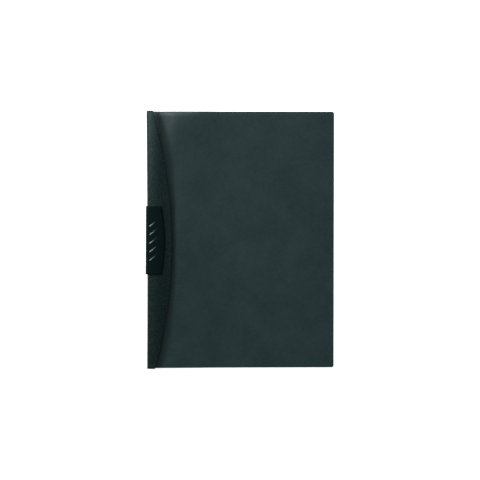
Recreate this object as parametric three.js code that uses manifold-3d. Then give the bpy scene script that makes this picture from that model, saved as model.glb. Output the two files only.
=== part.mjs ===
import * as THREE from "three";
import { mergeVertices } from "three/addons/utils/BufferGeometryUtils.js";
import initManifold from "manifold-3d";

// Clip folder lying on its back, in millimetres: X across from the spine, Y from foot to head, Z up

// Sheets
const folderWidth = 226.4; // spine to the open edge of the front cover
const backInset = 0.5; // the back panel ends this far inside the front cover
const coverHeight = 310;
const spineOverhang = 1; // the spine and flap stand this far past the covers at head and foot
const backSheet = 0.6;
const coverSheet = 0.5;
const cornerRadius = 2.4;
const paperSpace = 2.2; // between the back panel and the welded margin of the front sheet
const restGap = 0.3; // empty folder: the front cover rests this far over the back panel

// Flap and spine
const flapMiddle = 30; // reach of the bow-shaped edge from the spine
const flapEnd = 7.6;
const flapCornerCut = 1.3;
const spineDraw = 0.6; // the clip draws the spine in at mid height
const drawFade = 28; // distance from the spine over which that fades
const headStepStart = 7.2; // where the back panel drops from spine height to cover height
const headStepWidth = 1.4;

// Fall of the sheets from the spine to the table
const settleStart = 36;
const settleEnd = 96;
const fallStart = 0.4; // the front sheet starts to fall this far past the flap's edge
const fallPastMiddle = 5.6; // and is down this far past the flap, at mid height
const fallPastEnds = 10; // and at head and foot

// Crease of the front sheet
const stripStart = 4.2;
const creasePastFall = 1;
const creaseGap = 0.3;

// Swing clip
const clipLength = 82.6;
const clipMiddle = 21.8; // reach of the bowed edge from the spine
const clipEnd = 17.9;
const rearShort = 2.2; // the rear jaw ends this far inside the front jaw
const rearJaw = 1.5;
const turnGap = 0.1; // between the rear jaw and the back panel
const jawGap = 0.3; // between the front jaw's ridge and the flap
const ridgeDepth = 0.5;
const ridgeWidth = 3.4;
const jawTip = 1.1; // front jaw at its tip, above the ridge
const jawCrown = 0.6; // extra thickness at the crown
const crownPlace = 0.4; // share of the jaw's width at which it is thickest
const noseLength = 0.8;
const webGap = 0.3;
const webHead = 1.05; // web thickness at the clip's head
const webFoot = 1.75; // and at its foot, which a finger pulls
const webRound = 1.8;
const heelRound = 1;
const innerRound = 0.5;
const clipEdge = 0.4;

// Ribs on the front jaw
const ribCount = 5;
const ribPitch = 10.25;
const ribCentreY = -3.7;
const ribStart = 4; // thick ends from the spine
const ribLength = 12.6;
const ribShortening = 0.5; // each rib away from the middle one is shorter by this times its place squared
const ribAngle = THREE.MathUtils.degToRad(39.5);
const ribHead = 0.52; // radius of the thick end
const ribTail = 0.2;
const ribProud = 0.42;

// Pivot of the clip
const pivotInset = 6; // from the spine
const pivotFromHead = 8; // from the head of the clip
const webClearance = 0.5; // keeps the web outside the spine through the whole swing
const shankRadius = 2;
const shankRunning = 0.05;
const shankSeat = 0.02;
const rivetHead = 3.5;
const rivetHeadHeight = 0.7;
const flangeHeight = 0.5;
const flangeRecess = 0.1;
const flangeRunning = 0.05;
const flangeSide = 0.25;
const rivetEdge = 0.25;

// Fineness of the facets
const rowsAlong = 20;
const cornerSteps = 4;
const flatSteps = 2;
const bendSteps = 6;
const roundSteps = 7;
const turnSegments = 32;

// Sizes that follow from these
const spineHeight = coverHeight + 2 * spineOverhang;
const creaseFromSpine = flapMiddle + fallPastMiddle + creasePastFall;

// Levels, from the table up
const panelUnderside = rearJaw + turnGap;
const panelTop = panelUnderside + backSheet;
const stripUnderside = panelTop + paperSpace;
const flapUnderside = stripUnderside + coverSheet;
const flapTop = flapUnderside + backSheet;
const ridgeBottom = flapTop + jawGap;
const jawUnderside = ridgeBottom + ridgeDepth;
const spineRadius = (flapTop - panelUnderside) / 2;
const foldRadius = spineRadius - backSheet / 2;
const foldLevel = (flapTop + panelUnderside) / 2;

// Evenly spaced values from a to b, b left out
function steps(a, b, count) {
  return Array.from({ length: count }, (_, k) => a + ((b - a) * k) / count);
}

// Distance that a round of the given radius stands in at the ends of a length
function endInset(y, half, radius) {
  const past = Math.min(radius, Math.max(0, Math.abs(y) - (half - radius)));
  return radius - Math.sqrt(radius * radius - past * past);
}

// Edge that bows from end, at plus and minus half, to middle
function bowedEdge(y, half, middle, end) {
  return middle - (middle - end) * (y / half) ** 2;
}

// Stations along a length, closer together where its ends are rounded
function stations(half, radius) {
  const straight = half - radius;
  const rounding = steps(1, 0, cornerSteps).map((s) => straight + radius * Math.sin((s * Math.PI) / 2));
  const lower = rounding.map((y) => -y);
  return [...lower, ...steps(-straight, straight, rowsAlong), straight, ...rounding.reverse()];
}

// Shares of the half height, the same for every sheet
const rows = stations(coverHeight / 2, cornerRadius).map((y) => y / (coverHeight / 2));

// Closed sheet over a grid of centre points, half its thickness to each side
function sheetOver(columnCount, centre, thickness) {
  const grid = rows.map((row) => Array.from({ length: columnCount }, (_, c) => centre(c, row)));
  const positions = [];
  for (const side of [1, -1]) {
    for (const line of grid) {
      line.forEach((point, c) => {
        const before = line[Math.max(c - 1, 0)];
        const after = line[Math.min(c + 1, columnCount - 1)];
        const slope = Math.atan2(after.z - before.z, after.x - before.x);
        const offset = (side * thickness) / 2;
        positions.push(point.x - Math.sin(slope) * offset, point.y, point.z + Math.cos(slope) * offset);
      });
    }
  }
  const lastRow = rows.length - 1;
  const lastColumn = columnCount - 1;
  const at = (side, r, c) => (side * rows.length + r) * columnCount + c;
  const indices = [];
  for (let r = 0; r < lastRow; r++) {
    for (let c = 0; c < lastColumn; c++) {
      indices.push(at(0, r, c), at(0, r, c + 1), at(0, r + 1, c + 1));
      indices.push(at(0, r, c), at(0, r + 1, c + 1), at(0, r + 1, c));
      indices.push(at(1, r, c), at(1, r + 1, c + 1), at(1, r, c + 1));
      indices.push(at(1, r, c), at(1, r + 1, c), at(1, r + 1, c + 1));
    }
  }
  const rim = [];
  for (let c = 0; c < lastColumn; c++) rim.push([0, c]);
  for (let r = 0; r < lastRow; r++) rim.push([r, lastColumn]);
  for (let c = lastColumn; c > 0; c--) rim.push([lastRow, c]);
  for (let r = lastRow; r > 0; r--) rim.push([r, 0]);
  rim.forEach(([r, c], k) => {
    const [nextR, nextC] = rim[(k + 1) % rim.length];
    indices.push(at(1, r, c), at(1, nextR, nextC), at(0, nextR, nextC));
    indices.push(at(1, r, c), at(0, nextR, nextC), at(0, r, c));
  });
  return geometryOf(positions, indices);
}

// Closed body drawn through matching outlines, one for each station along Y
function loftThrough(places, outlineAt) {
  const outlines = places.map(outlineAt);
  const size = outlines[0].length;
  const positions = [];
  outlines.forEach((outline, k) => outline.forEach((p) => positions.push(p.x, places[k], p.y)));
  const indices = [];
  for (let k = 0; k < places.length - 1; k++) {
    for (let i = 0; i < size; i++) {
      const next = (i + 1) % size;
      const here = k * size;
      const there = here + size;
      indices.push(here + i, there + i, there + next);
      indices.push(here + i, there + next, here + next);
    }
  }
  const last = (places.length - 1) * size;
  for (const [a, b, c] of THREE.ShapeUtils.triangulateShape(outlines[0], [])) indices.push(a, b, c);
  for (const [a, b, c] of THREE.ShapeUtils.triangulateShape(outlines[places.length - 1], [])) {
    indices.push(last + a, last + c, last + b);
  }
  return geometryOf(positions, indices);
}

function geometryOf(positions, indices) {
  const geometry = new THREE.BufferGeometry();
  geometry.setAttribute("position", new THREE.Float32BufferAttribute(positions, 3));
  geometry.setIndex(indices);
  return geometry;
}

// Arc of points in a section, from one angle to another, both in degrees
function arc(x, z, radiusX, radiusZ, from, to) {
  return Array.from({ length: roundSteps + 1 }, (_, k) => {
    const angle = THREE.MathUtils.degToRad(from + ((to - from) * k) / roundSteps);
    return new THREE.Vector2(x + radiusX * Math.cos(angle), z + radiusZ * Math.sin(angle));
  });
}

// Joining and cutting of closed bodies
const wasm = await initManifold();
wasm.setup();

function bodyOf(geometry) {
  const bare = geometry.clone();
  bare.deleteAttribute("normal");
  bare.deleteAttribute("uv");
  const merged = mergeVertices(bare);
  const vertProperties = new Float32Array(merged.attributes.position.array);
  const triVerts = new Uint32Array(merged.index.array);
  return new wasm.Manifold(new wasm.Mesh({ numProp: 3, vertProperties, triVerts }));
}

function geometryFrom(body) {
  const mesh = body.getMesh();
  return geometryOf(Array.from(mesh.vertProperties), Array.from(mesh.triVerts));
}

// Upright cylinder between two levels at the pivot
function pivotCylinder(radius, low, high) {
  const cylinder = new THREE.CylinderGeometry(radius, radius, high - low, turnSegments);
  cylinder.rotateX(Math.PI / 2);
  cylinder.translate(pivotX, pivotY, (low + high) / 2);
  return bodyOf(cylinder);
}

// Spine line, drawn in at mid height
function spineAt(share) {
  return spineDraw * (1 - share * share);
}

// Centre of the back panel above the table
function panelLevel(x) {
  return backSheet / 2 + panelUnderside * (1 - THREE.MathUtils.smoothstep(x, settleStart, settleEnd));
}

// Bow-shaped edge of the flap
function flapEdge(share) {
  const corner = Math.max(0, Math.abs(share) * (spineHeight / 2) - (spineHeight / 2 - flapCornerCut));
  return bowedEdge(share, 1, flapMiddle, flapEnd) - corner;
}

// Open edge of a sheet with rounded corners
function openEdge(share, width) {
  return width - endInset((share * coverHeight) / 2, coverHeight / 2, cornerRadius);
}

// Pivot place
const pivotX = spineDraw + pivotInset;
const pivotY = clipLength / 2 - pivotFromHead;

// Back cover: panel, rounded spine and flap from one blank
function backCover() {
  const headStepEnd = headStepStart + headStepWidth;
  const panelSpots = [
    ...steps(settleEnd, settleStart, bendSteps),
    ...steps(settleStart, headStepEnd, flatSteps),
    headStepEnd,
    headStepStart,
  ];
  const openSpots = steps(1, 0, flatSteps);
  const foldAngles = steps(-90, -270, roundSteps);
  const flapSpots = [...steps(0, 1, bendSteps), 1];
  const centre = (c, share) => {
    const drawn = spineAt(share);
    const spineFade = (x) => drawn * Math.max(0, 1 - x / drawFade);
    if (c < openSpots.length) {
      const width = openEdge(share, folderWidth - backInset);
      const x = settleEnd + (width - settleEnd) * openSpots[c];
      return new THREE.Vector3(x, (share * coverHeight) / 2, panelLevel(x));
    }
    c -= openSpots.length;
    if (c < panelSpots.length) {
      const x = panelSpots[c];
      const height = x > headStepStart ? coverHeight : spineHeight;
      return new THREE.Vector3(x + spineFade(x), (share * height) / 2, panelLevel(x));
    }
    c -= panelSpots.length;
    const y = (share * spineHeight) / 2;
    if (c < foldAngles.length) {
      const angle = THREE.MathUtils.degToRad(foldAngles[c]);
      const x = spineRadius + foldRadius * Math.cos(angle);
      return new THREE.Vector3(x + drawn, y, foldLevel + foldRadius * Math.sin(angle));
    }
    c -= foldAngles.length;
    const start = spineRadius + drawn;
    const x = start + (flapEdge(share) - start) * flapSpots[c];
    return new THREE.Vector3(x, y, foldLevel + foldRadius);
  };
  const count = openSpots.length + panelSpots.length + foldAngles.length + flapSpots.length;
  const sheet = bodyOf(sheetOver(count, centre, backSheet));
  return geometryFrom(sheet.subtract(pivotCylinder(shankRadius + shankSeat, 0, panelTop + paperSpace / 2)));
}

// Line where the front sheet has come down: almost straight, and nearer the spine at head and foot
function fallEnd(share) {
  const middle = flapMiddle + fallPastMiddle;
  return middle - (middle - flapEnd - fallPastEnds) * share ** 4;
}

// Front sheet: level under the flap, then falling to lie over the back panel
function frontLevel(x, share) {
  const start = flapEdge(share) + fallStart;
  const lift = (paperSpace - restGap) * (1 - THREE.MathUtils.smoothstep(x, start, fallEnd(share)));
  return panelLevel(x) + backSheet / 2 + restGap + coverSheet / 2 + lift;
}

function frontPoint(x, share) {
  return new THREE.Vector3(x, (share * coverHeight) / 2, frontLevel(x, share));
}

function coverStrip() {
  const welded = [...steps(0, 1, flatSteps), 1];
  const free = [...steps(0, 1, 2 * bendSteps), 1];
  const centre = (c, share) => {
    const weldEnd = flapEdge(share) + fallStart;
    if (c < welded.length) return frontPoint(stripStart + (weldEnd - stripStart) * welded[c], share);
    return frontPoint(weldEnd + (creaseFromSpine - weldEnd) * free[c - welded.length + 1], share);
  };
  return sheetOver(welded.length + free.length - 1, centre, coverSheet);
}

function frontCover() {
  const start = creaseFromSpine + creaseGap;
  const spots = steps(start, settleEnd, 2 * bendSteps);
  const openSpots = [...steps(0, 1, flatSteps), 1];
  const centre = (c, share) => {
    if (c < spots.length) return frontPoint(spots[c], share);
    const width = openEdge(share, folderWidth);
    return frontPoint(settleEnd + (width - settleEnd) * openSpots[c - spots.length], share);
  };
  return sheetOver(spots.length + openSpots.length, centre, coverSheet);
}

// Swing clip
const clipHalf = clipLength / 2;
const clipRootX = spineAt(clipLength / coverHeight) - webGap;

function clipEdgeAt(y) {
  return bowedEdge(y, clipHalf, clipMiddle, clipEnd);
}

function clipLeft(y) {
  return clipRootX - THREE.MathUtils.lerp(webFoot, webHead, (y + clipHalf) / clipLength);
}

// Outer face of the front jaw: a parabola with its crown on the spine's side of the middle
function jawTop(x, y) {
  const across = (x - clipLeft(y)) / (clipEdgeAt(y) - clipLeft(y));
  return jawUnderside + jawTip + jawCrown * (1 - ((across - crownPlace) / (1 - crownPlace)) ** 2);
}

function clipOutline(y) {
  const inset = endInset(y, clipHalf, clipEdge);
  const left = clipLeft(y) + inset;
  const tip = clipEdgeAt(y) - inset;
  const noseX = tip - noseLength;
  const noseTop = jawTop(noseX, y) - inset;
  const noseMiddle = (noseTop + ridgeBottom) / 2;
  const ridgeStart = tip - ridgeWidth;
  const ridge = steps(0, 1, bendSteps).map((s) => {
    const z = jawUnderside - ridgeDepth * THREE.MathUtils.smoothstep(s, 0, 1);
    return new THREE.Vector2(ridgeStart + (noseX - ridgeStart) * s, z);
  });
  const crownEnd = left + webRound;
  const crown = steps(noseX, crownEnd, roundSteps)
    .slice(1)
    .map((x) => new THREE.Vector2(x, jawTop(x, y) - inset));
  const shoulder = jawTop(crownEnd, y) - inset - webRound;
  const rearMiddle = (rearJaw + inset) / 2;
  const rearRound = (rearJaw - inset) / 2;
  const rearTip = tip - rearShort - rearRound;
  const heel = heelRound + inset;
  return [
    ...ridge,
    ...arc(noseX, noseMiddle, noseLength, noseTop - noseMiddle, -90, 90),
    ...crown,
    ...arc(crownEnd, shoulder, webRound, webRound, 90, 180),
    ...arc(left + heelRound, heel, heelRound, heelRound, 180, 270),
    ...arc(rearTip, rearMiddle, rearRound, rearRound, -90, 90),
    ...arc(clipRootX + innerRound, rearJaw + innerRound, innerRound, innerRound, 270, 180),
    ...arc(clipRootX + innerRound, jawUnderside - innerRound, innerRound, innerRound, 180, 90),
  ];
}

// Drop-shaped rib, thick at its lower left end and sinking into the jaw at the other
function rib(index) {
  const place = (ribCount - 1) / 2 - index;
  const length = ribLength - ribShortening * place * place;
  const half = Math.PI / 2;
  const profile = [
    ...steps(-half, 0, bendSteps).map((a) => [ribHead * Math.cos(a), ribHead * Math.sin(a)]),
    ...steps(0, 1, flatSteps).map((s) => [THREE.MathUtils.lerp(ribHead, ribTail, s), length * s]),
    ...steps(0, half, bendSteps / 2).map((a) => [ribTail * Math.cos(a), length + ribTail * Math.sin(a)]),
    [0, length + ribTail],
  ].map(([radius, along]) => new THREE.Vector2(Math.max(0, radius), along));
  profile[0].x = 0;
  const drop = new THREE.LatheGeometry(profile, turnSegments / 2);
  const startY = ribCentreY + place * ribPitch;
  const endX = ribStart + length * Math.cos(ribAngle);
  const endY = startY + length * Math.sin(ribAngle);
  const startZ = jawTop(ribStart, startY) + ribProud - ribHead;
  const endZ = jawTop(endX, endY) - ribTail;
  const start = new THREE.Vector3(ribStart, startY, startZ);
  const direction = new THREE.Vector3(endX, endY, endZ).sub(start).normalize();
  drop.applyQuaternion(new THREE.Quaternion().setFromUnitVectors(new THREE.Vector3(0, 1, 0), direction));
  drop.translate(start.x, start.y, start.z);
  return bodyOf(drop);
}

function swingClip() {
  let clip = bodyOf(loftThrough(stations(clipHalf, clipEdge), clipOutline));
  for (let k = 0; k < ribCount; k++) clip = clip.add(rib(k));
  const webEnd = pivotY - pivotInset - webClearance;
  const reliefDepth = clipHalf - webEnd + clipEdge;
  const reliefHeight = jawUnderside - rearJaw;
  const reliefWidth = clipRootX + innerRound - clipLeft(-clipHalf) + clipEdge;
  const relief = new THREE.BoxGeometry(reliefWidth, reliefDepth, reliefHeight);
  relief.translate(
    clipRootX + innerRound - reliefWidth / 2,
    webEnd + reliefDepth / 2,
    rearJaw + reliefHeight / 2,
  );
  const recess = flangeRecess + flangeHeight + flangeRunning;
  return geometryFrom(
    clip
      .subtract(bodyOf(relief))
      .subtract(pivotCylinder(shankRadius + shankRunning, -rearJaw, panelTop))
      .subtract(pivotCylinder(rivetHead + flangeSide, -rearJaw, recess)),
  );
}

// Rivet: flange in the rear jaw's recess, shank, and low head inside the back panel
function pivotRivet() {
  const headTop = panelTop + rivetHeadHeight;
  const profile = [
    [0, flangeRecess],
    [rivetHead - rivetEdge, flangeRecess],
    [rivetHead, flangeRecess + rivetEdge],
    [rivetHead, flangeRecess + flangeHeight],
    [shankRadius, flangeRecess + flangeHeight],
    [shankRadius, panelTop],
    [rivetHead, panelTop],
    [rivetHead, headTop - rivetEdge],
    [rivetHead - rivetEdge, headTop],
    [0, headTop],
  ].map(([radius, level]) => new THREE.Vector2(radius, level));
  const rivet = new THREE.LatheGeometry(profile, turnSegments);
  rivet.rotateX(Math.PI / 2);
  rivet.translate(pivotX, pivotY, 0);
  return geometryFrom(bodyOf(rivet));
}

// Materials
const grainedSheet = { color: "#1f2a2b", roughness: 0.62, metalness: 0 };
const smoothSheet = { color: "#2a3939", roughness: 0.38, metalness: 0 };
const clipPlastic = { color: "#0d0f11", roughness: 0.35, metalness: 0 };
const rivetSteel = { color: "#3a3d40", roughness: 0.4, metalness: 0.8 };

function piece(name, geometry, finish) {
  const shaded = geometry.toNonIndexed();
  shaded.computeVertexNormals();
  const mesh = new THREE.Mesh(shaded, new THREE.MeshStandardMaterial(finish));
  mesh.name = name;
  return mesh;
}

const clipFolder = new THREE.Group();
clipFolder.name = "clip_folder";
clipFolder.add(
  piece("back_cover", backCover(), grainedSheet),
  piece("cover_strip", coverStrip(), smoothSheet),
  piece("front_cover", frontCover(), smoothSheet),
  piece("swing_clip", swingClip(), clipPlastic),
  piece("pivot_rivet", pivotRivet(), rivetSteel),
);

// The origin is the middle of the underside
const extent = new THREE.Box3().setFromObject(clipFolder);
const centre = extent.getCenter(new THREE.Vector3());
for (const mesh of clipFolder.children) mesh.position.set(-centre.x, -centre.y, -extent.min.z);

export default clipFolder;
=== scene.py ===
import bmesh
import bpy
import math
import numpy as np
from mathutils import Matrix, Vector


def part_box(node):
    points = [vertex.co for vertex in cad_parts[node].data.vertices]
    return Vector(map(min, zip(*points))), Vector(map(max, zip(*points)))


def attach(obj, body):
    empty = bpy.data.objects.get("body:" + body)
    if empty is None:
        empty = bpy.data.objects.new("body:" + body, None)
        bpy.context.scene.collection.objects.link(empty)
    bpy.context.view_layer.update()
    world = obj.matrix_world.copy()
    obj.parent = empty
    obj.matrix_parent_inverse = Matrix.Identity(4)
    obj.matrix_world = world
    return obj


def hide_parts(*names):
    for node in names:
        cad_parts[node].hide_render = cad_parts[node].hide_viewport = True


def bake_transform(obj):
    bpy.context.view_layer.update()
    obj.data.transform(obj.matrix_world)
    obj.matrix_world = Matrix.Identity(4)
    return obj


# Clip folder lying on its back: X from the spine to the open edge, Y from foot to head, Z up, in metres
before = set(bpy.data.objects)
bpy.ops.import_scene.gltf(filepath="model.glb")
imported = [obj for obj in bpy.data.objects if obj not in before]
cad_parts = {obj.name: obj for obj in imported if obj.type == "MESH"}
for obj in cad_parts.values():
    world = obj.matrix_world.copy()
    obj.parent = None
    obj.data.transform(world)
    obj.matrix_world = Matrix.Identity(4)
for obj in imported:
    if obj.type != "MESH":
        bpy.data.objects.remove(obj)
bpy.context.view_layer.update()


# The camera and the paper-white surroundings

cameraLook = {
    "lens": 92.87,  # millimetres, as the sensor
    "sensor": 36.0,
    "farthest": 50,
    "distance": 1.5,
    "nod": 1.783,  # degrees
    "pan": 1.141,
    "roll": 0.012,
    "shift": (0.00028, -0.0001),
}


def placeCamera(look):
    # turned by three small angles from straight overhead, then drawn back along its own axis
    roll = Matrix.Rotation(math.radians(look["roll"]), 3, "Z")
    nod = Matrix.Rotation(math.radians(look["nod"]), 3, "X")
    pan = Matrix.Rotation(math.radians(look["pan"]), 3, "Y")
    turn = (roll @ nod @ pan).transposed()
    place = turn @ Vector((*look["shift"], look["distance"]))
    data = bpy.data.cameras.new("camera")
    data.lens = look["lens"]
    data.sensor_width = look["sensor"]
    data.clip_end = look["farthest"]
    camera = bpy.data.objects.new("camera", data)
    camera.matrix_world = Matrix.Translation(place) @ turn.to_4x4()
    bpy.context.scene.collection.objects.link(camera)
    bpy.context.scene.camera = camera
    bpy.context.scene.view_settings.view_transform = "Standard"


lightLook = {
    "skyDark": 0.06,
    "skyWhite": 2.25,
    "paleSide": (-0.66, 0.75, 0.0),  # the walls beyond the spine and the head are pale, the others dark
    "paleStart": 0.11,
    "paleEnd": 0.56,
    "keyPlace": (-0.85, 0.95, 1.3),
    "keySize": (0.45, 0.45),
    "keyPower": 15.3,
    "leftPlace": (-1.5, 0.4, 0.55),
    "leftSize": (0.5, 1.4),
    "leftPower": 18.0,
}


def addPanelLight(name, place, size, power):
    # a rectangle that faces the middle of the folder
    data = bpy.data.lights.new(name, "AREA")
    data.shape = "RECTANGLE"
    data.size, data.size_y = size
    data.energy = power
    light = bpy.data.objects.new(name, data)
    light.location = place
    light.rotation_euler = (-Vector(place)).to_track_quat("-Z", "Y").to_euler()
    bpy.context.scene.collection.objects.link(light)


def makeSky(look):
    # pale on one side and dark on the other, by how far the direction looked in leans to the pale side
    world = bpy.data.worlds.new("studio")
    bpy.context.scene.world = world
    world.use_nodes = True
    nodes, links = world.node_tree.nodes, world.node_tree.links
    background = nodes["Background"]
    direction = nodes.new("ShaderNodeTexCoord")
    lean = nodes.new("ShaderNodeVectorMath")
    lean.operation = "DOT_PRODUCT"
    lean.inputs[1].default_value = look["paleSide"]
    fade = nodes.new("ShaderNodeMapRange")
    fade.interpolation_type = "SMOOTHSTEP"
    fade.inputs["From Min"].default_value = look["paleStart"]
    fade.inputs["From Max"].default_value = look["paleEnd"]
    fade.inputs["To Min"].default_value = look["skyDark"]
    fade.inputs["To Max"].default_value = look["skyWhite"]
    seen = nodes.new("ShaderNodeLightPath")
    plain = nodes.new("ShaderNodeMix")  # the camera itself sees white
    plain.inputs["B"].default_value = 1
    links.new(direction.outputs["Generated"], lean.inputs[0])
    links.new(lean.outputs["Value"], fade.inputs["Value"])
    links.new(seen.outputs["Is Camera Ray"], plain.inputs["Factor"])
    links.new(fade.outputs["Result"], plain.inputs["A"])
    links.new(plain.outputs["Result"], background.inputs["Color"])


floorLook = {
    "color": (0.8, 0.8, 0.8, 1),
    "glow": 0.78,
    "radius": 20,
    "level": -0.0001,
    "corners": 64,
}


def joinRays(nodes, links, first, second):
    # 1 for rays of either kind
    either = nodes.new("ShaderNodeMath")
    either.operation = "MAXIMUM"
    links.new(first, either.inputs[0])
    links.new(second, either.inputs[1])
    return either.outputs["Value"]


def makeFloor(look):
    # a wide disc of pale paper that takes shadows, and glows to the eye, in mirrors and through glass
    material = bpy.data.materials.new("whiteFloor")
    material.use_nodes = True
    nodes, links = material.node_tree.nodes, material.node_tree.links
    nodes.clear()
    output = nodes.new("ShaderNodeOutputMaterial")
    paper = nodes.new("ShaderNodeBsdfDiffuse")
    paper.inputs["Color"].default_value = look["color"]
    glow = nodes.new("ShaderNodeEmission")
    rays = nodes.new("ShaderNodeLightPath").outputs
    looked = joinRays(nodes, links, rays["Is Camera Ray"], rays["Is Glossy Ray"])
    looked = joinRays(nodes, links, looked, rays["Is Transmission Ray"])
    strength = nodes.new("ShaderNodeMath")
    strength.operation = "MULTIPLY"
    strength.inputs[1].default_value = look["glow"]
    both = nodes.new("ShaderNodeAddShader")
    links.new(looked, strength.inputs[0])
    links.new(strength.outputs["Value"], glow.inputs["Strength"])
    links.new(paper.outputs["BSDF"], both.inputs[0])
    links.new(glow.outputs["Emission"], both.inputs[1])
    links.new(both.outputs["Shader"], output.inputs["Surface"])
    count = look["corners"]
    angles = np.linspace(0, 2 * np.pi, count, endpoint=False)
    level = np.full(count, look["level"])
    ring = np.stack([look["radius"] * np.cos(angles), look["radius"] * np.sin(angles), level], 1)
    mesh = bpy.data.meshes.new("floor")
    mesh.from_pydata(ring.tolist(), [], [list(range(count))])
    mesh.materials.append(material)
    floor = bpy.data.objects.new("floor", mesh)
    bpy.context.scene.collection.objects.link(floor)


placeCamera(cameraLook)
makeSky(lightLook)
addPanelLight("keyLight", lightLook["keyPlace"], lightLook["keySize"], lightLook["keyPower"])
addPanelLight("leftLight", lightLook["leftPlace"], lightLook["leftSize"], lightLook["leftPower"])
makeFloor(floorLook)
print("camera, lights and floor placed")


# Grids of points and the meshes made from them


def smooth(value, low, high):
    # 0 below low, 1 above high, and an even S between
    share = np.clip((value - low) / (high - low), 0, 1)
    return share * share * (3 - 2 * share)


def bowed(share, middle, end):
    # a parabola from end, at shares -1 and 1, to middle at 0
    return middle - (middle - end) * share**2


def endInset(y, half, radius):
    # how far a round of that radius stands in at the ends of a length
    past = np.clip(np.abs(y) - (half - radius), 0, radius)
    return radius - np.sqrt(radius**2 - past**2)


def spread(half, radius, along, corner):
    # places from -half to half, closer together over the last radius at each end
    bend = radius * np.sin(np.linspace(0, np.pi / 2, corner + 1)[1:])
    upper = half - radius + bend
    return np.concatenate([-upper[::-1], np.linspace(-(half - radius), half - radius, along), upper])


def gridFaces(rows, columns, wrap=False):
    # quads between neighbouring points of a grid, joined across the last column when wrap is on
    index = np.arange(rows * columns).reshape(rows, columns)
    right = np.roll(index, -1, axis=1) if wrap else index[:, 1:]
    left = index if wrap else index[:, :-1]
    quads = np.stack([left[:-1], right[:-1], right[1:], left[1:]], -1)
    return quads.reshape(-1, 4)


def sheetMesh(centre, thickness):
    # two skins half a thickness either side of the centre surface, with a rim between them
    rows, columns = centre.shape[:2]
    slope = np.gradient(centre, axis=1)
    angle = np.arctan2(slope[..., 2], slope[..., 0])
    across = np.stack([-np.sin(angle), np.zeros_like(angle), np.cos(angle)], -1) * thickness / 2
    skins = np.concatenate([(centre + across).reshape(-1, 3), (centre - across).reshape(-1, 3)])
    count = rows * columns
    outer = gridFaces(rows, columns)
    inner = outer[:, ::-1] + count
    index = np.arange(count).reshape(rows, columns)
    loop = np.concatenate([index[0, :-1], index[:-1, -1], index[-1, :0:-1], index[:0:-1, 0]])
    following = np.roll(loop, -1)
    rim = np.stack([loop + count, following + count, following, loop], -1)
    return skins, np.concatenate([outer, inner, rim]).tolist()


def loftMesh(rings):
    # outlines drawn through along Y, with an end face on the first and the last
    rows, columns = rings.shape[:2]
    sides = gridFaces(rows, columns, wrap=True)[:, ::-1]
    last = (rows - 1) * columns
    ends = [list(range(columns)), list(range(last + columns - 1, last - 1, -1))]
    return rings.reshape(-1, 3), sides.tolist() + ends


meshLook = {
    "merge": 1e-7,  # points closer than this become one
    "shortest": 1e-8,  # and edges shorter than this go
    "sharpAngle": 40,
}


def makePiece(name, shells, material, look=meshLook):
    # one object from several shells of points and faces, each closed by itself so that shells never join
    mesh = bpy.data.meshes.new(name)
    whole = bmesh.new()
    for points, faces in shells:
        shell = bpy.data.meshes.new("shell")
        shell.from_pydata(points.tolist(), [], faces)
        single = bmesh.new()
        single.from_mesh(shell)
        bmesh.ops.remove_doubles(single, verts=single.verts, dist=look["merge"])
        bmesh.ops.dissolve_degenerate(single, edges=single.edges, dist=look["shortest"])
        single.to_mesh(shell)
        single.free()
        whole.from_mesh(shell)
        bpy.data.meshes.remove(shell)
    whole.to_mesh(mesh)
    whole.free()
    mesh.shade_smooth()
    mesh.set_sharp_from_angle(angle=math.radians(look["sharpAngle"]))
    mesh.materials.append(material)
    piece = bpy.data.objects.new(name, mesh)
    bpy.context.scene.collection.objects.link(piece)
    return piece


def pointsOf(piece):
    return np.array([vertex.co for vertex in piece.data.vertices])


def centresOf(piece):
    return np.array([face.center for face in piece.data.polygons])


def setAttribute(piece, name, values):
    attribute = piece.data.attributes.new(name, "FLOAT", "POINT")
    attribute.data.foreach_set("value", values.astype(np.float32))


def addSecondMaterial(piece, material, faces):
    # on the faces where the given row is true
    piece.data.materials.append(material)
    piece.data.polygons.foreach_set("material_index", faces.astype(np.int32))


# Plastics and steel


standInColor = (0.02, 0.02, 0.02, 1)  # under the patterns that give a colour


def startMaterial(name, look):
    # roughness, and a plain colour, a sheen and a tint where the look has them
    material = bpy.data.materials.new(name)
    material.use_nodes = True
    surface = material.node_tree.nodes["Principled BSDF"]
    surface.inputs["Roughness"].default_value = look["roughness"]
    surface.inputs["Base Color"].default_value = look.get("color", standInColor)
    if "sheen" in look:
        surface.inputs["Specular IOR Level"].default_value = look["sheen"]
    if "tint" in look:
        surface.inputs["Specular Tint"].default_value = look["tint"]
    return material, surface


def addNoise(material, scale, detail, stretch=(1, 1, 1), coarse=0.5):
    # noise on Object coordinates
    nodes, links = material.node_tree.nodes, material.node_tree.links
    place = nodes.new("ShaderNodeTexCoord")
    mapping = nodes.new("ShaderNodeMapping")
    mapping.inputs["Scale"].default_value = stretch
    noise = nodes.new("ShaderNodeTexNoise")
    noise.inputs["Scale"].default_value = scale
    noise.inputs["Detail"].default_value = detail
    noise.inputs["Roughness"].default_value = coarse
    links.new(place.outputs["Object"], mapping.inputs["Vector"])
    links.new(mapping.outputs["Vector"], noise.inputs["Vector"])
    return noise.outputs["Fac"]


def readAttribute(material, name):
    value = material.node_tree.nodes.new("ShaderNodeAttribute")
    value.attribute_name = name
    return value.outputs["Fac"]


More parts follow.
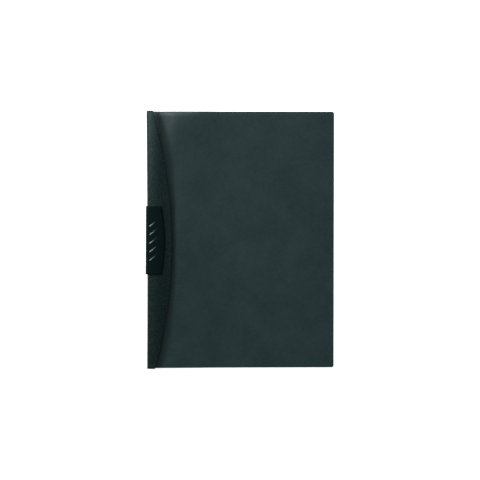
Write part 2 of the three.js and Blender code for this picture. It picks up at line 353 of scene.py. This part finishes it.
def mixColors(material, share, ends, lowColor, highColor):
    # from lowColor to highColor as share goes from the first end to the second
    ramp = material.node_tree.nodes.new("ShaderNodeValToRGB")
    low, high = ramp.color_ramp.elements
    low.position, high.position = ends
    low.color = (*lowColor, 1)
    high.color = (*highColor, 1)
    material.node_tree.links.new(share, ramp.inputs["Fac"])
    return ramp.outputs["Color"]


def shadeBy(material, value, loss, color):
    # the colour as it is where the value is 0, down to a share of 1 - loss where it is 1
    nodes, links = material.node_tree.nodes, material.node_tree.links
    darker = nodes.new("ShaderNodeMapRange")
    darker.inputs["To Min"].default_value = 1
    darker.inputs["To Max"].default_value = 1 - loss
    shaded = nodes.new("ShaderNodeVectorMath")
    shaded.operation = "SCALE"
    links.new(value, darker.inputs["Value"])
    links.new(color, shaded.inputs[0])
    links.new(darker.outputs["Result"], shaded.inputs["Scale"])
    return shaded.outputs["Vector"]


def addBump(material, surface, height, look):
    # the look gives the bump's strength, and its height in metres
    bump = material.node_tree.nodes.new("ShaderNodeBump")
    bump.inputs["Strength"].default_value, bump.inputs["Distance"].default_value = look["bump"]
    material.node_tree.links.new(height, bump.inputs["Height"])
    material.node_tree.links.new(bump.outputs["Normal"], surface.inputs["Normal"])


smoothLook = {
    "shadeLow": (0.0042, 0.0142, 0.0150),
    "shadeHigh": (0.0150, 0.0310, 0.0316),
    "shadeEnds": (0.3, 0.7),
    "flapShadeLoss": 0.50,  # painted shade: how much darker the sheet is drawn beside the flap's edge and down the fall
    "roughness": 0.40,
    "sheen": 0.35,
    "tint": (0.95, 1.0, 1.0, 1),
    "mottle": {"scale": 22.0, "detail": 8, "coarse": 0.68},  # scales are patches to the metre
    "fibre": {"scale": 480.0, "detail": 3, "stretch": (0.6, 1.3, 1)},
    "fibreShare": 0.45,
    "tooth": {"scale": 900.0, "detail": 2},
    "bump": (0.15, 0.0001),
}


def smoothPlastic(look):
    # satin sheet with faint, wide mottling, a very fine tooth, and painted shade beside the flap's edge
    material, surface = startMaterial("smoothSheet", look)
    nodes, links = material.node_tree.nodes, material.node_tree.links
    uneven = nodes.new("ShaderNodeMix")
    uneven.inputs["Factor"].default_value = look["fibreShare"]
    links.new(addNoise(material, **look["mottle"]), uneven.inputs["A"])
    links.new(addNoise(material, **look["fibre"]), uneven.inputs["B"])
    share = uneven.outputs["Result"]
    mottled = mixColors(material, share, look["shadeEnds"], look["shadeLow"], look["shadeHigh"])
    # painted shade: darkened by the attribute beside the flap's edge and down the fall, where the sheet
    # lies in shade
    shaded = shadeBy(material, readAttribute(material, "flapShade"), look["flapShadeLoss"], mottled)
    links.new(shaded, surface.inputs["Base Color"])
    addBump(material, surface, addNoise(material, **look["tooth"]), look)
    return material


grainedLook = {
    "shadeLow": (0.0, 0.0, 0.0),
    "shadeHigh": (0.0070, 0.0178, 0.0178),
    "shadeEnds": (0.42, 0.72),
    "roughness": 0.34,
    "sheen": 0.34,
    "tint": (0.65, 1.0, 1.0, 1),
    "grain": {"scale": 560.0, "detail": 4},
    "bump": (0.35, 0.0002),
}


def grainedPlastic(look):
    # pressed grain: speckled shade and a leathery bump
    material, surface = startMaterial("grainedSheet", look)
    grain = addNoise(material, **look["grain"])
    speckled = mixColors(material, grain, look["shadeEnds"], look["shadeLow"], look["shadeHigh"])
    material.node_tree.links.new(speckled, surface.inputs["Base Color"])
    addBump(material, surface, grain, look)
    return material


# painted shade: a dull dark plastic for the shadow line along the flap's edge and at the clip's ends
shadeLineEdgeLook = {
    "color": (0.0012, 0.0040, 0.0040, 1),
    "roughness": 0.6,
    "sheen": 0.12,
}


def shadeLineEdgePlastic(look):
    # dull and dark: painted shade for the shadow line along the flap's cut edge and at the clip's moulded
    # ends
    return startMaterial("shadeLineEdge", look)[0]


clipPlasticLook = {
    "color": (0.0001, 0.0023, 0.0022, 1),
    "roughness": 0.33,
    "sheen": 0.26,
    "tint": (0.6, 1.0, 1.0, 1),
    "tooth": {"scale": 1100, "detail": 2},
    "bump": (0.12, 0.0001),
}


def clipPlastic(look):
    # near-black moulded plastic with a fine tooth
    material, surface = startMaterial("clipPlastic", look)
    addBump(material, surface, addNoise(material, **look["tooth"]), look)
    return material


# painted highlight: the ribs' pale thick ends stand for their glints
ribGlintPlasticLook = {
    "head": (0.33, 0.36, 0.37),
    "tail": (0.004, 0.006, 0.006),
    "fade": (0.0, 0.70),
    "roughness": 0.30,
}


def ribGlintPlastic(look):
    # painted highlight: pale at the thick end, fading to black by the thin one, by the piece's own length
    # attribute
    material, surface = startMaterial("ribGlintPlastic", look)
    along = readAttribute(material, "along")
    paintedGlint = mixColors(material, along, look["fade"], look["head"], look["tail"])
    material.node_tree.links.new(paintedGlint, surface.inputs["Base Color"])
    return material


rivetLook = {
    "color": (0.10, 0.105, 0.11, 1),
    "roughness": 0.35,
    "metal": 0.9,
    "brush": {"scale": 900, "detail": 2, "stretch": (1, 8, 1)},
    "bump": (0.2, 0.0001),
}


def rivetSteel(look):
    # dark steel, brushed one way
    material, surface = startMaterial("rivetSteel", look)
    surface.inputs["Metallic"].default_value = look["metal"]
    addBump(material, surface, addNoise(material, **look["brush"]), look)
    return material


smoothSheet = smoothPlastic(smoothLook)
grainedSheet = grainedPlastic(grainedLook)
shadeLineEdge = shadeLineEdgePlastic(shadeLineEdgeLook)
clipBlack = clipPlastic(clipPlasticLook)
ribGlint = ribGlintPlastic(ribGlintPlasticLook)
darkSteel = rivetSteel(rivetLook)
print("materials made")


# What both covers share. In the functions below x is measured from the spine's outermost line, and share
# is the place along the height: -1 at the foot, 0 at mid height and 1 at the head

coverLook = {
    "width": 0.2264,  # to the open edge of the front cover
    "height": 0.310,
    "cornerRadius": 0.0024,
    "rows": 160,
    "cornerRows": 6,
    "settleStart": 0.036,  # the back panel comes down to the table between these
    "settleEnd": 0.096,
    "curlDepth": 0.0014,  # by the spine both covers turn down at the head
    "curlWidth": 0.006,
    "curlNear": (0.004, 0.008),  # fading in and out between these distances from the spine
    "curlFar": (0.040, 0.070),
}
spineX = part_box("front_cover")[1][0] - coverLook["width"]
halfHeight = coverLook["height"] / 2
rowPlaces = spread(halfHeight, coverLook["cornerRadius"], coverLook["rows"], coverLook["cornerRows"])
rowShares = (rowPlaces / halfHeight)[:, None]
cornerInset = endInset(rowShares * halfHeight, halfHeight, coverLook["cornerRadius"])  # row by row


def headEdge(y, look=coverLook):
    # a parabola over the last millimetres below the head: 0 where it starts, 1 at the edge
    return np.clip((y - (look["height"] / 2 - look["curlWidth"])) / look["curlWidth"], 0, 1) ** 2


def headCurl(x, y, look=coverLook):
    # how far both covers turn down: the head edge's parabola, faded in by the spine and out away from it
    faded = smooth(x, *look["curlNear"]) * (1 - smooth(x, *look["curlFar"]))
    return look["curlDepth"] * faded * headEdge(y)


# Back cover: panel, rounded spine and flap, one grained sheet

backLook = {
    "width": 0.2259,
    "spineHeight": 0.312,  # of spine and flap
    "thickness": 0.0006,
    "underside": 0.0016,  # near the spine, over the clip's rear jaw
    "flapTop": 0.0055,
    "flapMiddle": 0.0304,  # how far the flap reaches
    "flapBow": 0.0213,  # how far the bow falls back over half the height
    "bowPlace": -0.029,  # share of the half height at which the flap reaches farthest
    "flapCornerCut": 0.0013,
    "spineDraw": 0.0006,  # how far the spine is drawn in at mid height
    "drawFade": 0.028,
    "foldStart": 0.004,
    "headStepStart": 0.0072,
    "headStepEnd": 0.0086,
    "crownRise": 0.0011,  # the flap keeps rising from the spine
    "crownRun": 0.015,
    "crownLean": 0.0011,  # more so towards the head
    "edgeSlope": 0.03,  # above and below the clip the flap bends down to its edge
    "edgeFade": (0.25, 0.45),  # shares of the half height
    "shadeLineWidth": 0.0007,  # the flap's last strip by its edge is painted darker as a shadow line over this width
    "flapDepth": 0.0025,  # no part of the flap's edge lies farther below its top
    "freeColumns": 8,
    "settleColumns": 24,
    "innerColumns": 8,
    "foldColumns": 17,
    "flapColumns": 14,
}
foldRadius = (backLook["flapTop"] - backLook["underside"]) / 2  # how far the rounded spine reaches


def panelLevel(x, look=backLook):
    # centre of the back panel: level by the spine, down in an S to the table
    settled = smooth(x, coverLook["settleStart"], coverLook["settleEnd"])
    return look["thickness"] / 2 + look["underside"] * (1 - settled)


def flapEdge(share, look=backLook):
    # a parabola that reaches farthest at bowPlace, with its corners cut off
    half = look["spineHeight"] / 2
    corner = np.clip(np.abs(share) * half - (half - look["flapCornerCut"]), 0, None)
    return look["flapMiddle"] - look["flapBow"] * (share - look["bowPlace"]) ** 2 - corner


def spineLine(share, look=backLook):
    # how far the spine is drawn in: a parabola, most at mid height
    return look["spineDraw"] * (1 - share**2)


def crownRise(share, look=backLook):
    # the same at the foot and at mid height, and more by a parabola towards the head
    return look["crownRise"] + look["crownLean"] * np.clip(share, 0, 1) ** 2


def flapCrown(x, share, look=backLook):
    # how far flap and sheet lie below their level: a parabola by the spine and one to the flap's edge
    reach = flapEdge(share) - foldRadius
    drop = look["edgeSlope"] * reach / 2 * smooth(np.abs(share), *look["edgeFade"])
    nearSpine = crownRise(share) * np.clip(1 - (x - foldRadius) / look["crownRun"], 0, 1) ** 2
    return nearSpine + drop * np.clip((x - foldRadius) / reach, 0, 1) ** 2


def backSurface(share, look):
    # a section of panel, half ellipse and flap, whose lengths change with the height
    drawn = spineLine(share)
    settleStart, settleEnd = coverLook["settleStart"], coverLook["settleEnd"]
    edge = look["width"] - cornerInset
    free = settleEnd + (edge - settleEnd) * np.linspace(1, 0, look["freeColumns"])[None, :-1]
    settling = np.linspace(settleEnd, settleStart, look["settleColumns"])[:-1]
    inner = np.linspace(settleStart, look["headStepEnd"], look["innerColumns"])
    pastStep = [look["headStepStart"], look["foldStart"]]
    fixed = np.concatenate([settling, inner, pastStep])[None, :]
    panelX = np.concatenate([free, fixed + drawn * np.clip(1 - fixed / look["drawFade"], 0, 1)], 1)
    panelZ = panelLevel(panelX) - headCurl(panelX, share * halfHeight)
    bottom = look["underside"] + look["thickness"] / 2
    top = look["flapTop"] - look["thickness"] / 2
    foldTop = top - crownRise(share)
    angles = np.radians(np.linspace(-90, -270, look["foldColumns"]))[None, :]
    foldX = foldRadius + (foldRadius - look["thickness"] / 2) * np.cos(angles) + drawn
    foldZ = (foldTop + bottom) / 2 + (foldTop - bottom) / 2 * np.sin(angles)
    flapStart = foldRadius + drawn
    flapEnd = flapEdge(share)
    across = np.linspace(0, 1, look["flapColumns"])[None, 1:]
    flapX = flapStart + (flapEnd - look["shadeLineWidth"] - flapStart) * across
    flapX = np.concatenate([flapX, flapEnd], 1)
    flapZ = top - flapCrown(flapX - drawn, share)
    x = np.concatenate([panelX, foldX, flapX], 1)
    z = np.concatenate([panelZ, foldZ, flapZ], 1)
    tall = np.full(x.shape[1], look["spineHeight"])
    tall[: panelX.shape[1] - len(pastStep)] = coverLook["height"]  # beyond the step the panel is shorter
    return np.stack([x + spineX, share * tall / 2, z], -1)


backShell = sheetMesh(backSurface(rowShares, backLook), backLook["thickness"])
backCover = makePiece("backCover", [backShell], grainedSheet)
# painted shade: the flap's last strip and its rim take the dull dark plastic as a shadow line along the
# edge
faceX, faceY, faceZ = centresOf(backCover).T
pastEdge = faceX - spineX - flapEdge(faceY / (backLook["spineHeight"] / 2))
inShadeLine = (pastEdge > -backLook["shadeLineWidth"]) & (faceZ > backLook["flapTop"] - backLook["flapDepth"])
addSecondMaterial(backCover, shadeLineEdge, inShadeLine)
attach(backCover, "folder")
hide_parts("back_cover")
print("back cover made")


# Front cover: one smooth sheet from under the flap to the open edge

frontLook = {
    "thickness": 0.0005,
    "restGap": 0.0003,  # over the back panel
    "lift": 0.0019,  # height of the fall
    "stripStart": 0.0042,  # the sheet's edge, beside the fold
    "fallStart": -0.0004,  # past the flap's edge
    "fallPastMiddle": 0.0046,  # the fall ends this far past the edge at mid height, and at head and foot
    "fallPastEnds": 0.0095,
    "fallPower": 1.4,
    "headFade": (0.80, 0.92),  # shares of the half height between which the fall turns into an S
    "tail": 0.0006,  # below the middle this much of the fall runs on more gently
    "tailLength": 0.032,
    "tailFade": (0.1, 0.4),  # shares of the half height
    "swell": 0.0016,  # a low swelling past the fall, near the head
    "swellPlace": (0.037, 0.140),
    "swellSize": (0.012, 0.050, 0.025),  # towards the spine, away from it, and along it
    "farCurl": 0.0003,  # away from the spine the head edge turns down less
    "flapShadeSpill": 0.002,  # the painted shade ends this far past the fall
    "crease": 0.03675,
    "bendBefore": 0.001,  # the sheet bends from here before the crease
    "bendPast": 0.003,
    "weldColumns": 5,
    "fallColumns": 17,
    "settleColumns": 37,
    "freeColumns": 31,
}


def fallEnd(share, look=frontLook):
    # where the sheet has come down: a fourth power, straight for long and nearer the spine at head and foot
    middle = backLook["flapMiddle"] + look["fallPastMiddle"]
    return middle - (middle - flapEdge(np.sign(share)) - look["fallPastEnds"]) * share**4


def unevenness(x, y, look=frontLook):
    # the swelling is a bell in both directions, steeper towards the spine, and the head edge turns down
    placeX, placeY = look["swellPlace"]
    nearSize, farSize, alongSize = look["swellSize"]
    acrossSwell = ((x - placeX) / np.where(x < placeX, nearSize, farSize)) ** 2
    alongSwell = ((y - placeY) / alongSize) ** 2
    far = look["farCurl"] * smooth(x, *coverLook["curlFar"]) * headEdge(y)
    return look["swell"] * np.exp(-acrossSwell - alongSwell) - headCurl(x, y) - far


def frontLevel(x, share, look=frontLook):
    # level under the flap, then down to lie just over the back panel: a power of what is left of the fall,
    # an S by the head, and below the middle a tail that is a parabola
    start = flapEdge(share) + look["fallStart"]
    end = fallEnd(share)
    left = 1 - np.clip((x - start) / (end - start), 0, 1)
    low, high = look["headFade"]
    atHead = np.clip((share - low) / (high - low), 0, 1)
    fall = (1 - atHead) * left ** look["fallPower"] + atHead * smooth(left, 0, 1)
    over = np.clip(1 - (x - start) / (end + look["tailLength"] - start), 0, 1) ** 2
    tail = look["tail"] * (1 - smooth(share, *look["tailFade"]))
    lift = (look["lift"] - tail) * fall + tail * over - flapCrown(x, share) * left
    return panelLevel(x) + (backLook["thickness"] + look["thickness"]) / 2 + look["restGap"] + lift


def frontSurface(share, look):
    # evenly spaced columns under the flap, down the fall, to where the panel is flat and to the open edge
    weldEnd = flapEdge(share) + look["fallStart"]
    marks = [
        np.full_like(share, look["stripStart"]),
        weldEnd,
        fallEnd(share),
        np.full_like(share, coverLook["settleEnd"]),
        coverLook["width"] - cornerInset,
    ]
    counts = [look["weldColumns"], look["fallColumns"], look["settleColumns"], look["freeColumns"]]
    columns = [marks[0]]
    for near, far, count in zip(marks, marks[1:], counts):
        columns.append(near + (far - near) * np.linspace(0, 1, count)[None, 1:])
    x = np.concatenate(columns, 1)
    y = np.broadcast_to(share * halfHeight, x.shape)
    return np.stack([x + spineX, y, frontLevel(x, share) + unevenness(x, y)], -1)


frontShell = sheetMesh(frontSurface(rowShares, frontLook), frontLook["thickness"])
frontCover = makePiece("frontCover", [frontShell], smoothSheet)
pointX, pointY = pointsOf(frontCover).T[:2]
pointShare = pointY / halfHeight
# painted shade: 1 up to the flap's edge, fading to 0 this far past the fall
flapShadeEnd = fallEnd(pointShare) + frontLook["flapShadeSpill"]
setAttribute(frontCover, "flapShade", 1 - smooth(pointX - spineX, flapEdge(pointShare), flapShadeEnd))
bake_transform(frontCover)
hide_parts("front_cover", "cover_strip")
print("front cover made")


# Swing clip: front jaw, web and rear jaw, with the ribs on the front jaw

clipLook = {
    "length": 0.0826,
    "middle": 0.0218,  # how far the front jaw reaches at mid length
    "end": 0.0179,
    "rearShort": 0.0022,  # the rear jaw reaches this much less
    "rearJaw": 0.0015,
    "ridgeBottom": 0.0058,  # the ridge under the front jaw's tip
    "ridgeWidth": 0.0034,
    "underside": 0.0063,  # of the front jaw
    "jawTip": 0.0011,
    "jawCrown": 0.0006,
    "crownPlace": 0.4,  # share of the jaw's width
    "nose": 0.0008,
    "webGap": 0.0003,  # from the spine
    "webHead": 0.00105,
    "webFoot": 0.00175,
    "webEnd": 0.0268,  # nearer the head the jaws stand apart, with no web
    "webRound": 0.0018,
    "heelRound": 0.001,
    "innerRound": 0.0005,
    "edge": 0.0004,  # round of the clip's two ends
    "stations": 60,
    "edgeStations": 5,
    "ridgePoints": 9,
    "nosePoints": 13,
    "crownPoints": 26,
    "shoulderPoints": 13,
    "jawPoints": 10,  # of the shoulder's, those above the jaw's underside
    "heelPoints": 9,
    "rearPoints": 11,
    "innerPoints": 7,
}
clipHalf = clipLook["length"] / 2
clipRoot = spineLine(clipHalf / halfHeight) - clipLook["webGap"]


def clipLeft(y, look=clipLook):
    # outer side of the web: a straight line, farther out at the foot
    taper = (look["webFoot"] - look["webHead"]) / look["length"]
    return clipRoot - look["webFoot"] + taper * (y + clipHalf)


def clipReach(y, look=clipLook):
    # tip of the front jaw: a parabola
    return bowed(y / clipHalf, look["middle"], look["end"])


def jawTop(x, y, look=clipLook):
    # a parabola across the jaw, highest a little on the spine's side of the middle and thinnest at the tip
    across = (x - clipLeft(y)) / (clipReach(y) - clipLeft(y))
    fromCrown = (across - look["crownPlace"]) / (1 - look["crownPlace"])
    return look["underside"] + look["jawTip"] + look["jawCrown"] * (1 - fromCrown**2)


def pointRows(x, z):
    # points of an outline, one row for each station
    return np.stack(np.broadcast_arrays(x, z), -1)


def arcAt(x, z, radiusX, radiusZ, start, end, count):
    # points of an arc between two angles in degrees, on a circle or an ellipse
    angles = np.radians(np.linspace(start, end, count))[None, :]
    return pointRows(x + radiusX * np.cos(angles), z + radiusZ * np.sin(angles))


def clipRings(y, look, parts):
    # outlines of the whole section, of the front jaw alone or of the rear jaw alone, at the stations y:
    # straight lines and arcs, with the jaw's parabola on top
    y = y[:, None]
    inset = endInset(y, clipHalf, look["edge"])
    left = clipLeft(y) + inset
    tip = clipReach(y) - inset
    noseX = tip - look["nose"]
    noseTop = jawTop(noseX, y) - inset
    noseMiddle = (noseTop + look["ridgeBottom"]) / 2
    run = np.linspace(0, 1, look["ridgePoints"])[None, :-1]
    ridgeX = tip - look["ridgeWidth"] + (look["ridgeWidth"] - look["nose"]) * run
    ridgeDepth = (look["underside"] - look["ridgeBottom"]) * smooth(run, 0, 1)
    ridge = pointRows(ridgeX, look["underside"] - ridgeDepth)
    nose = arcAt(noseX, noseMiddle, look["nose"], noseTop - noseMiddle, -90, 90, look["nosePoints"])
    web = look["webRound"]
    crownEnd = left + web
    crownX = noseX + (crownEnd - noseX) * np.linspace(0, 1, look["crownPoints"])[None, 1:-1]
    crown = pointRows(crownX, jawTop(crownX, y) - inset)
    shoulderZ = jawTop(crownEnd, y) - inset - web
    shoulder = arcAt(crownEnd, shoulderZ, web, web, 90, 180, look["shoulderPoints"])
    curve = look["heelRound"]
    heel = arcAt(left + curve, curve + inset, curve, curve, 180, 270, look["heelPoints"])
    rearMiddle = (look["rearJaw"] + inset) / 2
    rearRound = (look["rearJaw"] - inset) / 2
    rearX = tip - look["rearShort"] - rearRound
    rear = arcAt(rearX, rearMiddle, rearRound, rearRound, -90, 90, look["rearPoints"])
    inner = look["innerRound"]
    root = np.full_like(y, clipRoot + inner)
    lower = arcAt(root, look["rearJaw"] + inner, inner, inner, 270, 180, look["innerPoints"])
    upper = arcAt(root, look["underside"] - inner, inner, inner, 180, 90, look["innerPoints"])
    cut = crownEnd - np.sqrt(np.clip(web**2 - (look["underside"] - shoulderZ) ** 2, 0, None))
    jawEnd = pointRows(cut, np.full_like(y, look["underside"]))
    outlines = {
        "whole": [ridge, nose, crown, shoulder, heel, rear, lower, upper],
        "front": [ridge, nose, crown, shoulder[:, : look["jawPoints"]], jawEnd],
        "rear": [heel, rear, pointRows(left, np.full_like(y, look["rearJaw"]))],
    }
    x, z = np.moveaxis(np.concatenate(outlines[parts], 1), -1, 0)
    return np.stack([x + spineX, np.broadcast_to(y, x.shape), z], -1)


clipStations = spread(clipHalf, clipLook["edge"], clipLook["stations"], clipLook["edgeStations"])
webEnd = clipLook["webEnd"]
lowerStations = np.append(clipStations[clipStations < webEnd], webEnd)
upperStations = np.insert(clipStations[clipStations > webEnd], 0, webEnd)
clipShells = [
    loftMesh(clipRings(lowerStations, clipLook, "whole")),
    loftMesh(clipRings(upperStations, clipLook, "front")),
    loftMesh(clipRings(upperStations, clipLook, "rear")),
]
swingClip = makePiece("swingClip", clipShells, clipBlack)
# painted shade: the clip's rounded ends take the dull dark plastic as a shadow line
addSecondMaterial(swingClip, shadeLineEdge, np.abs(centresOf(swingClip)[:, 1]) > clipHalf - clipLook["edge"])
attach(swingClip, "clip")
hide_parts("swing_clip")
print("clip made")

ribLook = {
    "count": 5,
    "pitch": 0.01025,
    "centreY": -0.0037,
    "start": 0.004,
    "length": 0.0126,  # of the middle one
    "shortening": 0.0005,  # times its place from the middle squared, for each of the others
    "angle": 39.5,  # degrees
    "head": 0.00040,  # radius of the thick end
    "tail": 0.0002,
    "proud": 0.00041,  # how high the thick end stands over the jaw
    "headRings": 9,
    "flankRings": 14,
    "tailRings": 6,
    "ringPoints": 24,
}
ribSlant = math.radians(ribLook["angle"])


def ribShells(look):
    # teardrops: a radius that shrinks from head to tail, carried round a straight line, with round ends
    place = (look["count"] - 1) / 2 - np.arange(look["count"])
    length = look["length"] - look["shortening"] * place**2
    startX = np.full_like(place, look["start"])
    startY = look["centreY"] + place * look["pitch"]
    endX = startX + length * math.cos(ribSlant)
    endY = startY + length * math.sin(ribSlant)
    start = np.stack([startX, startY, jawTop(startX, startY) + look["proud"] - look["head"]], -1)
    end = np.stack([endX, endY, jawTop(endX, endY) - look["tail"]], -1)
    line = (end - start) / np.linalg.norm(end - start, axis=1, keepdims=True)
    side = np.cross(line, [0.0, 0.0, 1.0])
    side /= np.linalg.norm(side, axis=1, keepdims=True)
    up = np.cross(side, line)
    head = np.radians(np.linspace(-90, 0, look["headRings"]))
    flank = np.linspace(0, 1, look["flankRings"])[1:-1]
    tail = np.radians(np.linspace(0, 90, look["tailRings"]))
    flankRadius = look["head"] + (look["tail"] - look["head"]) * flank
    radius = np.concatenate([look["head"] * np.cos(head), flankRadius, look["tail"] * np.cos(tail)])
    before = np.broadcast_to(look["head"] * np.sin(head), (look["count"], len(head)))
    between = length[:, None] * flank
    beyond = length[:, None] + look["tail"] * np.sin(tail)
    along = np.concatenate([before, between, beyond], 1)
    around = np.linspace(0, 2 * np.pi, look["ringPoints"], endpoint=False)[:, None]
    ring = side[:, None, None] * np.cos(around) + up[:, None, None] * np.sin(around)
    centre = start[:, None] + line[:, None] * along[..., None]
    points = centre[:, :, None] + ring * radius[:, None, None]
    points[..., 0] += spineX
    faces = gridFaces(len(radius), look["ringPoints"], wrap=True)[:, ::-1].tolist()
    return [(rib.reshape(-1, 3), faces) for rib in points]


def alongRib(x, y, look):
    # how far along its own rib each point lies: 0 at the thick end, 1 at the longest rib's thin end
    x = x - spineX - look["start"]
    y = y - look["centreY"]
    across = math.cos(ribSlant) * y - math.sin(ribSlant) * x
    last = (look["count"] - 1) / 2
    rib = np.clip(np.round(across / (look["pitch"] * math.cos(ribSlant))), -last, last)
    along = math.cos(ribSlant) * x + math.sin(ribSlant) * (y - rib * look["pitch"])
    return np.clip(along / look["length"], 0, 1)


# the ribs carry a painted highlight at their thick ends
clipRibs = makePiece("clipRibs", ribShells(ribLook), ribGlint)
ribX, ribY = pointsOf(clipRibs).T[:2]
setAttribute(clipRibs, "along", alongRib(ribX, ribY, ribLook))
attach(clipRibs, "clip")
print("ribs made")


# Rivet: the CAD's own turned shape with its steel

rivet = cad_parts["pivot_rivet"]
rivet.data.materials.clear()
rivet.data.materials.append(darkSteel)
print("rivet finished")
